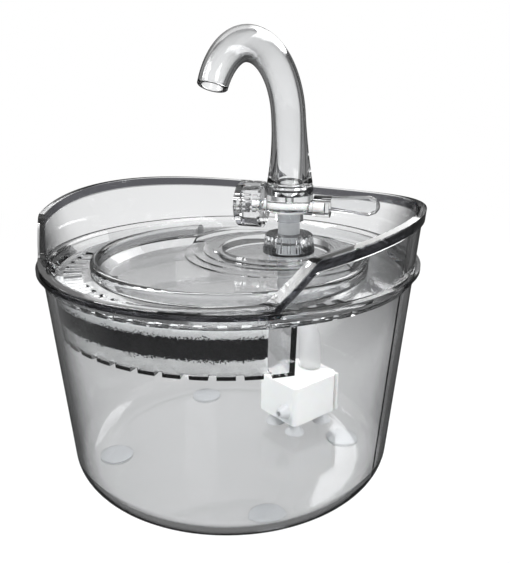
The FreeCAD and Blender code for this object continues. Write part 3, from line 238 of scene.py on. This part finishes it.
def painted_rim_shade(nt, place, colour):
    """Paints a dark band just below the outside of the tray's upper edge. This is painted shade and
    reflection: the real turned rim is clear plastic that looks dark only through refraction and reflection.
    """
    def calc(kind, first, second=0.0):
        return math_node(nt, kind, first, second)

    x, y, z = split_xyz(nt, place)
    behind = calc("SUBTRACT", y, CREST_Y)
    arch = calc("SUBTRACT", CREST_Z, calc("MULTIPLY", calc("MULTIPLY", behind, behind), 1 / ARCH_BEND))
    step = calc("ADD", calc("MULTIPLY", calc("SUBTRACT", y, STEP_Y), STEP_SLOPE), STEP_Z)
    edge = calc("MINIMUM", arch, calc("MAXIMUM", step, LIP_Z))
    below = calc("SUBTRACT", edge, z)
    reach = calc("SQRT", calc("ADD", calc("MULTIPLY", x, x), calc("MULTIPLY", y, y)))
    wall = calc("ADD", calc("MULTIPLY", calc("SUBTRACT", z, SEAM_Z * MM), FLARE), (SEAM_R - 0.2) * MM)
    outside = calc("GREATER_THAN", reach, wall)
    band = ramp(nt, [(0.0, grey(0.0)), (0.08, grey(0.0)), (0.14, grey(1.0)), (0.80, grey(1.0)),
                     (0.92, grey(0.0))], calc("MULTIPLY", below, 1 / RIM_SHADE_HEIGHT))
    # painted shade: near-black colour on the outside of the rim band
    return mix_colours(nt, calc("MULTIPLY", band, outside), colour, (0.015, 0.015, 0.018))


def clear_plastic(name, start, centre=(0.88, 0.885, 0.89), edge=(0.02, 0.02, 0.022), rough=0.02, rim=False):
    """Clear plastic that lets lamps through. Its colour is darker where it is seen edge on, a painted shade
    for the dark edges that refraction and reflection give.
    """
    mat, nt, output = tree(name)
    links = nt.links
    shader = nt.nodes.new("ShaderNodeBsdfPrincipled")
    shader.inputs["Transmission Weight"].default_value = 1.0
    shader.inputs["IOR"].default_value = 1.45
    # painted shade: the colour ramp runs from the centre tint to the dark edge colour as the surface turns
    # edge on
    weight = nt.nodes.new("ShaderNodeLayerWeight")
    weight.inputs["Blend"].default_value = 0.5
    colour = ramp(nt, [(0.0, centre), (start, tuple(c * 0.93 for c in centre)),
                       ((start + 1) / 2, tuple((a + b) / 2 for a, b in zip(centre, edge))), (1.0, edge)],
                  weight.outputs["Facing"])
    coord = nt.nodes.new("ShaderNodeTexCoord")
    # painted shade band along the tray's rim, where rim is set
    if rim:
        colour = painted_rim_shade(nt, coord.outputs["Object"], colour)
    links.new(colour, shader.inputs["Base Color"])
    waves = nt.nodes.new("ShaderNodeTexNoise")
    waves.inputs["Scale"].default_value = 55
    waves.inputs["Detail"].default_value = 2
    links.new(coord.outputs["Object"], waves.inputs["Vector"])
    bump = nt.nodes.new("ShaderNodeBump")
    bump.inputs["Strength"].default_value = 0.03
    bump.inputs["Distance"].default_value = 0.002
    links.new(waves.outputs["Fac"], bump.inputs["Height"])
    links.new(bump.outputs["Normal"], shader.inputs["Normal"])
    fine = nt.nodes.new("ShaderNodeTexNoise")
    fine.inputs["Scale"].default_value = 900
    links.new(coord.outputs["Object"], fine.inputs["Vector"])
    grain = nt.nodes.new("ShaderNodeMapRange")
    grain.inputs["To Min"].default_value = rough
    grain.inputs["To Max"].default_value = rough + 0.03
    links.new(fine.outputs["Fac"], grain.inputs["Value"])
    links.new(grain.outputs["Result"], shader.inputs["Roughness"])
    clear = nt.nodes.new("ShaderNodeBsdfTransparent")
    clear.inputs["Color"].default_value = (0.975, 0.98, 0.985, 1)
    path = nt.nodes.new("ShaderNodeLightPath")
    mixer = nt.nodes.new("ShaderNodeMixShader")
    links.new(path.outputs["Is Shadow Ray"], mixer.inputs["Fac"])
    links.new(shader.outputs[0], mixer.inputs[1])
    links.new(clear.outputs[0], mixer.inputs[2])
    links.new(mixer.outputs[0], output.inputs["Surface"])
    return mat


def moulded(name, colour, rough=0.4, spread=0.04, scale=220.0, bump=0.06, metal=0.0, coat=0.0,
            see=0.0, sheen=0.0, under=0.0, spec=0.5):
    """An opaque or milky moulded or turned surface with fine unevenness."""
    mat, nt, output = tree(name)
    links = nt.links
    shader = nt.nodes.new("ShaderNodeBsdfPrincipled")
    shader.inputs["Metallic"].default_value = metal
    shader.inputs["Coat Weight"].default_value = coat
    shader.inputs["Transmission Weight"].default_value = see
    shader.inputs["Sheen Weight"].default_value = sheen
    shader.inputs["Subsurface Weight"].default_value = under
    shader.inputs["Subsurface Scale"].default_value = 0.004
    shader.inputs["Specular IOR Level"].default_value = spec
    coord = nt.nodes.new("ShaderNodeTexCoord")
    cloud = nt.nodes.new("ShaderNodeTexNoise")
    cloud.inputs["Scale"].default_value = scale
    cloud.inputs["Detail"].default_value = 6
    links.new(coord.outputs["Object"], cloud.inputs["Vector"])
    dark = tuple(max(c - spread, 0) for c in colour)
    pale = tuple(min(c + spread, 1) for c in colour)
    links.new(ramp(nt, [(0.3, dark), (0.7, pale)], cloud.outputs["Fac"]), shader.inputs["Base Color"])
    grain = nt.nodes.new("ShaderNodeMapRange")
    grain.inputs["To Min"].default_value = max(rough - 0.06, 0.02)
    grain.inputs["To Max"].default_value = rough + 0.08
    links.new(cloud.outputs["Fac"], grain.inputs["Value"])
    links.new(grain.outputs["Result"], shader.inputs["Roughness"])
    lift = nt.nodes.new("ShaderNodeBump")
    lift.inputs["Strength"].default_value = bump
    lift.inputs["Distance"].default_value = 0.0006
    links.new(cloud.outputs["Fac"], lift.inputs["Height"])
    links.new(lift.outputs["Normal"], shader.inputs["Normal"])
    links.new(shader.outputs[0], output.inputs["Surface"])
    return mat


CLEAR_TANK = clear_plastic("tank_clear", centre=(0.93, 0.935, 0.94), start=0.60)
CLEAR_TRAY = clear_plastic("tray_clear", start=0.50, rim=True)
CLEAR_TAP = clear_plastic("tap_clear", centre=(0.92, 0.925, 0.93), start=0.40, edge=(0.03, 0.03, 0.035),
                          rough=0.03)
CLEAR_BASE = clear_plastic("base_clear", centre=(0.95, 0.955, 0.96), start=0.75, edge=(0.45, 0.45, 0.46),
                           rough=0.10)
CLEAR_BOX = clear_plastic("box_clear", centre=(0.98, 0.982, 0.985), start=0.50, edge=(0.005, 0.005, 0.006))
STEM = moulded("stem_grey", (0.36, 0.37, 0.38), 0.35)
GREY = moulded("slider_grey", (0.45, 0.46, 0.47), 0.4)
WHITE = moulded("pump_white", (0.88, 0.88, 0.87), 0.45, spread=0.02, under=0.1)
MILKY = moulded("hose_milky", (0.90, 0.90, 0.90), 0.3, spread=0.03, see=0.55)
SEAL = moulded("seal_black", (0.03, 0.03, 0.03), 0.55)
GASKET = moulded("gasket_grey", (0.62, 0.63, 0.64), 0.55)
FOOT = moulded("foot_milky", (0.80, 0.81, 0.82), 0.4, see=0.6)
CARBON = moulded("carbon_black", (0.006, 0.006, 0.007), 0.7, spread=0.004, scale=900, bump=0.5, spec=0.08)
COTTON = moulded("cotton_white", (0.93, 0.93, 0.92), 0.9, spread=0.06, scale=1100, bump=0.9, sheen=0.3)
STEEL = moulded("screw_steel", (0.62, 0.62, 0.63), 0.3, metal=1.0)
IRON = moulded("core_iron", (0.30, 0.30, 0.31), 0.45, metal=1.0)
COPPER = moulded("coil_copper", (0.60, 0.30, 0.14), 0.35, metal=1.0, coat=0.3)
CERAMIC = moulded("shaft_ceramic", (0.90, 0.89, 0.86), 0.2, coat=0.3)
MAGNET = moulded("magnet_dark", (0.07, 0.07, 0.075), 0.6)

LOOKS = {
    "tank": CLEAR_TANK, "tank_feet": FOOT, "drinking_tray": CLEAR_TRAY, "faucet_base": CLEAR_BASE,
    "base_gasket": GASKET, "base_nut": WHITE, "faucet_stem": STEM, "stem_o_ring": SEAL,
    "valve_body": CLEAR_TAP, "valve_spindle": WHITE, "spindle_o_rings": SEAL, "valve_knob": CLEAR_TAP,
    "knob_screw": STEEL, "valve_lever": CLEAR_TAP, "swan_neck_spout": CLEAR_TAP, "spout_o_ring": SEAL,
    "filter_box": CLEAR_BOX, "lower_filter_cotton": COTTON, "carbon_granules": CARBON,
    "upper_filter_cotton": COTTON, "pump_housing": WHITE, "housing_back_plate": WHITE,
    "lead_gland": GASKET, "stator_core": IRON, "stator_coil": COPPER, "rear_shaft_bush": GASKET,
    "impeller_shaft": CERAMIC, "rotor_magnet": MAGNET, "impeller": GREY, "pump_cover": WHITE,
    "front_shaft_bush": GASKET, "flow_slider": GREY, "suction_cups": GASKET, "riser_hose": MILKY,
}
for node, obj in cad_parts.items():
    if not obj.material_slots:
        obj.data.materials.append(None)
    for spot in obj.material_slots:
        spot.material = LOOKS[node]


# Making meshes

def mesh_piece(name, verts, faces, mat, smooth=True):
    """An object from points and faces, with its faces turned outward."""
    me = bpy.data.meshes.new(name)
    me.from_pydata([tuple(v) for v in verts], [], faces)
    me.validate()
    obj = bpy.data.objects.new(name, me)
    bpy.context.scene.collection.objects.link(obj)
    me.materials.append(mat)
    bm = bmesh.new()
    bm.from_mesh(me)
    bmesh.ops.recalc_face_normals(bm, faces=bm.faces)
    for f in bm.faces:
        f.smooth = smooth
    bm.to_mesh(me)
    bm.free()
    return obj


def skin(rings, closed_ends=True):
    """Faces between rings of the same size; the ends are closed with one face each."""
    size = len(rings[0])
    verts = [v for ring in rings for v in ring]
    faces = []
    for i in range(len(rings) - 1):
        for j in range(size):
            k = (j + 1) % size
            faces.append((i * size + j, i * size + k, (i + 1) * size + k, (i + 1) * size + j))
    if closed_ends:
        faces.append(tuple(range(size - 1, -1, -1)))
        faces.append(tuple((len(rings) - 1) * size + j for j in range(size)))
    return verts, faces


# Swan neck spout: one smooth tube with its bore and spigot

AXIS_Y, FOOT_Z = 61.0, 142.2
LEAN, MOUTH = math.radians(8), math.radians(157)
COLUMN_BEND, RISE_BEND, FALL_BEND = 276.0, 41.0, 33.0
BENDS = ((COLUMN_BEND, LEAN), (RISE_BEND, math.pi / 2), (FALL_BEND, MOUTH))
CROWN = COLUMN_BEND * LEAN + RISE_BEND * (math.pi / 2 - LEAN)
WHOLE = CROWN + FALL_BEND * (MOUTH - math.pi / 2)
COLUMN_R, CROWN_R, MOUTH_R = 9.6, 8.8, 7.2
SKIRT, SKIRT_RISE = 3.6, 40
SPOUT_WALL, LIP_ROUND = 2.2, 0.35
SPIGOT_R, SPIGOT_DEEP = 10.0, 6.5
STATIONS = 110


def spout_path(travel):
    """Middle of the tube and its direction from straight up, at a distance from its foot."""
    y, z, angle = AXIS_Y, FOOT_Z, 0.0
    for radius, stop in BENDS:
        part = min(travel, radius * (stop - angle))
        after = angle + part / radius
        y += radius * (math.cos(after) - math.cos(angle))
        z += radius * (math.sin(after) - math.sin(angle))
        travel -= part
        angle = after
        if travel < 1e-9:
            break
    return Vector((0, y, z)), angle


def spout_radius(travel):
    if travel < SKIRT_RISE:
        return COLUMN_R + SKIRT * (1 - travel / SKIRT_RISE) ** 2
    if travel < CROWN:
        return COLUMN_R - (COLUMN_R - CROWN_R) * (travel - SKIRT_RISE) / (CROWN - SKIRT_RISE)
    return CROWN_R - (CROWN_R - MOUTH_R) * (travel - CROWN) / (WHOLE - CROWN)


def ring_at(centre, angle, radius, count=72):
    """A circle of points square to the tube's direction."""
    across = Vector((1, 0, 0))
    other = Vector((0, math.cos(angle), math.sin(angle)))
    return [(centre + (across * math.cos(t) + other * math.sin(t)) * radius) * MM
            for t in (2 * math.pi * i / count for i in range(count))]


def make_spout():
    low = Vector((0, AXIS_Y, FOOT_Z - SPIGOT_DEEP))
    top = Vector((0, AXIS_Y, FOOT_Z))
    up = Vector((0, 0, 1))
    rings = [ring_at(low, 0, COLUMN_R), ring_at(low + up * 0.4, 0, SPIGOT_R), ring_at(top, 0, SPIGOT_R),
             ring_at(top, 0, 12.7), ring_at(top + up * 0.15, 0, 13.05)]
    travels = [WHOLE * i / STATIONS for i in range(1, STATIONS)]
    for travel in travels:
        rings.append(ring_at(*spout_path(travel), spout_radius(travel)))
    mouth, angle = spout_path(WHOLE)
    behind = mouth - Vector((0, -math.sin(angle), math.cos(angle))) * LIP_ROUND
    for centre, radius in ((behind, MOUTH_R), (mouth, MOUTH_R - LIP_ROUND),
                           (mouth, MOUTH_R - SPOUT_WALL + LIP_ROUND), (behind, MOUTH_R - SPOUT_WALL)):
        rings.append(ring_at(centre, angle, radius))
    for travel in reversed(travels):
        rings.append(ring_at(*spout_path(travel), min(spout_radius(travel), COLUMN_R) - SPOUT_WALL))
    rings.append(ring_at(low, 0, COLUMN_R - SPOUT_WALL))
    verts, faces = skin(rings, closed_ends=False)
    size = len(rings[0])
    last = (len(rings) - 1) * size
    for j in range(size):
        k = (j + 1) % size
        faces.append((last + j, last + k, k, j))
    spout = mesh_piece("spout_tube", verts, faces, CLEAR_TAP)
    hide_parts("swan_neck_spout")
    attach(spout, "spout_body")


# Filter layers: levels of their faces, inner radii, half of their angle

LAYERS = (86.1, 93.3, 101.9, 106.4)
MEDIA_R, SHELF_R = 58.9, 73.4
HALF_SPAN = math.radians(44.55)
OUTER_SHARE = 0.72


def sector_pad(name, outline, half_angle, mat, swell, grain, steps=110):
    """A pad swept round the tank's axis; its skin is roughened inward so it stays in its box."""
    fine = []
    for (r0, z0), (r1, z1) in zip(outline, outline[1:] + outline[:1]):
        run = max(int(math.hypot(r1 - r0, z1 - z0)), 1)
        for i in range(run):
            t = i / run
            fine.append((r0 + (r1 - r0) * t, z0 + (z1 - z0) * t))
    mid_r = sum(p[0] for p in fine) / len(fine)
    mid_z = sum(p[1] for p in fine) / len(fine)
    rings = []
    for i in range(steps + 1):
        turn = -half_angle + 2 * half_angle * i / steps
        ring = []
        for r, z in fine:
            at = on_wall(r, turn, z)
            rough = noise.fractal(at * grain, 1.0, 2.0, 4) * swell
            pull = swell + rough
            shrink_r = (mid_r - r) / max(abs(mid_r - r), 0.5)
            shrink_z = (mid_z - z) / max(abs(mid_z - z), 0.5)
            edge = 0.6 + 0.4 * min(1.0, (half_angle - abs(turn)) * 60)
            ring.append(on_wall(r + shrink_r * pull * 0.5, turn, z + shrink_z * pull * 0.5 / edge) * MM)
        rings.append(ring)
    verts, faces = skin(rings)
    return mesh_piece(name, verts, faces, mat)


def fibres(name, spots, mat):
    """Short crossed threads that stand a little out of a pad's skin."""
    verts, faces = [], []
    for centre, normal in spots:
        way = Vector((random.gauss(0, 1), random.gauss(0, 1), random.gauss(0, 0.6))).normalized()
        side = way.cross(normal).normalized()
        length = random.uniform(0.9, 2.2)
        thick = random.uniform(0.06, 0.11)
        bow = random.uniform(0.1, 0.35)
        base = len(verts)
        for i in range(4):
            t = i / 3
            at = centre + way * (t - 0.5) * length + normal * (bow * math.sin(math.pi * t))
            for turn in (0, 2.1, 4.2):
                verts.append((at + (side * math.cos(turn) + normal * math.sin(turn)) * thick) * MM)
        for i in range(3):
            for j in range(3):
                k = (j + 1) % 3
                here, there = base + i * 3, base + (i + 1) * 3
                faces.append((here + j, here + k, there + k, there + j))
        faces.append((base, base + 1, base + 2))
        faces.append((base + 9, base + 11, base + 10))
    return mesh_piece(name, verts, faces, mat)


def on_wall(r, turn, z):
    """A point of a layer's wall, at an angle from the tank's front."""
    return Vector((r * math.sin(turn), -r * math.cos(turn), z))


def shell_spots(count, low, high, half_angle, deep, inner):
    """Random points on a layer's outer and inner walls, each with the direction out of the layer."""
    spots = []
    for _ in range(count):
        turn = random.uniform(-half_angle, half_angle)
        z = random.uniform(low, high)
        outward = on_wall(1, turn, 0)
        if random.random() < OUTER_SHARE:
            spots.append((on_wall(media_r(z) - deep, turn, z), outward))
        else:
            spots.append((on_wall(inner, turn, z), -outward))
    return spots


def edge_spots(count, level, below, above, half_angle, deep):
    """Points on the outer wall, thinning out away from the line between two layers."""
    spots = []
    for _ in range(count):
        turn = random.uniform(-half_angle, half_angle)
        clump = 0.6 + 0.8 * noise.fractal(Vector((turn * 14, level, 0)), 1.0, 2.0, 4)
        reach = random.random() ** 2.2 * max(clump, 0.15)
        z = level + (above if random.random() < above / (above + below) else -below) * reach
        spots.append((on_wall(media_r(z) - deep, turn, z), on_wall(1, turn, 0)))
    return spots


def grains(name, spots, size, mat):
    """Broken pebbles: squashed and cut little lumps."""
    bm = bmesh.new()
    bmesh.ops.create_icosphere(bm, subdivisions=1, radius=1)
    base_verts = [v.co.copy() for v in bm.verts]
    base_faces = [tuple(v.index for v in f.verts) for f in bm.faces]
    bm.free()
    verts, faces = [], []
    for centre, _ in spots:
        scale = Vector([random.uniform(0.55, 1.25) * size for _ in range(3)])
        turn = random.uniform(0, 6.28)
        axis = Vector((random.gauss(0, 1), random.gauss(0, 1), random.gauss(0, 1))).normalized()
        spin = Matrix.Rotation(turn, 3, axis)
        start = len(verts)
        for co in base_verts:
            bump = 1 + random.uniform(-0.22, 0.22)
            verts.append((centre + spin @ (co * scale) * bump) * MM)
        faces += [tuple(start + i for i in f) for f in base_faces]
    return mesh_piece(name, verts, faces, mat, smooth=False)


def join(name, parts):
    bpy.ops.object.select_all(action="DESELECT")
    for part in parts:
        part.select_set(True)
    bpy.context.view_layer.objects.active = parts[0]
    bpy.ops.object.join()
    parts[0].name = name
    return parts[0]


def make_filter():
    foot, line_low, line_high, top_z = LAYERS

    def ends(share):
        return HALF_SPAN * share

    low = sector_pad("lower_cotton", [(MEDIA_R, foot), (media_r(foot), foot), (media_r(line_low), line_low),
                                      (MEDIA_R, line_low)], HALF_SPAN, COTTON, 0.35, 0.9)
    low = join("lower_cotton", [
        low, fibres("lower_fibres", shell_spots(2600, 86.4, 93.2, ends(0.99), -0.1, 58.7), COTTON)])
    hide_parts("lower_filter_cotton")
    mid = sector_pad("carbon_bed", [(MEDIA_R, line_low), (media_r(line_low), line_low),
                                    (media_r(line_high), line_high), (MEDIA_R, line_high)],
                     HALF_SPAN, CARBON, 0.5, 0.8)
    stray = [spot for level, low_side, high_side in ((line_low, 1.9, 0.4), (line_high, 0.4, 1.9))
             for spot in edge_spots(1500, level, low_side, high_side, ends(0.985), 0.32)]
    mid = join("carbon_bed", [
        mid,
        grains("carbon_grains", shell_spots(2600, 93.5, 101.7, ends(0.985), 0.6, 59.6), 0.75, CARBON),
        grains("stray_grains", stray, 0.42, CARBON)])
    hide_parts("carbon_granules")
    shelf = line_high + 0.2
    top = sector_pad("upper_cotton", [(MEDIA_R, line_high), (media_r(line_high), line_high),
                                      (media_r(top_z), top_z), (SHELF_R, top_z), (SHELF_R, shelf),
                                      (MEDIA_R, shelf)], HALF_SPAN, COTTON, 0.25, 0.9)
    spots = shell_spots(1500, 102.2, 106.3, ends(0.99), -0.1, SHELF_R - 0.1)
    top = join("upper_cotton", [top, fibres("upper_fibres", spots, COTTON)])
    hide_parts("upper_filter_cotton")
    for piece in (low, mid, top):
        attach(piece, "filter_body")


make_spout()
make_filter()


# Floor

floor_mat, ft, floor_out = tree("floor_white")
paint = ft.nodes.new("ShaderNodeBsdfPrincipled")
paint.inputs["Base Color"].default_value = (0.92, 0.92, 0.92, 1)
paint.inputs["Roughness"].default_value = 0.7
spot = ft.nodes.new("ShaderNodeTexCoord")
length = ft.nodes.new("ShaderNodeVectorMath")
length.operation = "LENGTH"
ft.links.new(spot.outputs["Object"], length.inputs[0])
away = ramp(ft, [(0.0, grey(0.70)), (0.22, grey(0.72)), (0.75, grey(1.0))], length.outputs["Value"])
apart = split_xyz(ft, spot.outputs["Object"])
# painted shade: seen through clear plastic, the floor near the object glows a darker grey, fading out to the
# room's flags further away
near_fade = ramp(ft, [(0.12, grey(0.0)), (0.34, grey(1.0))], length.outputs["Value"])
under = mix_colours(ft, near_fade, grey(0.68), flags(ft, apart[0], apart[1]))
rays = ft.nodes.new("ShaderNodeLightPath")
surface = plain = paint.outputs[0]
for ray, share, colour in ((rays.outputs["Is Glossy Ray"], 0.97, grey(0.03)),
                           (straight(ft, rays), 0.9, under),
                           (rays.outputs["Is Camera Ray"], away, grey(1.0))):
    surface = choose(ft, ray, surface, choose(ft, share, plain, shining(ft, EMISSION, colour)))
ft.links.new(surface, floor_out.inputs["Surface"])
FAR, SUNK = 6.0, -0.0001
floor = mesh_piece("floor", [(x, y, SUNK) for x, y in ((-FAR, -FAR), (FAR, -FAR), (FAR, FAR), (-FAR, FAR))],
                   [(0, 1, 2, 3)], floor_mat, smooth=False)

bpy.context.view_layer.update()
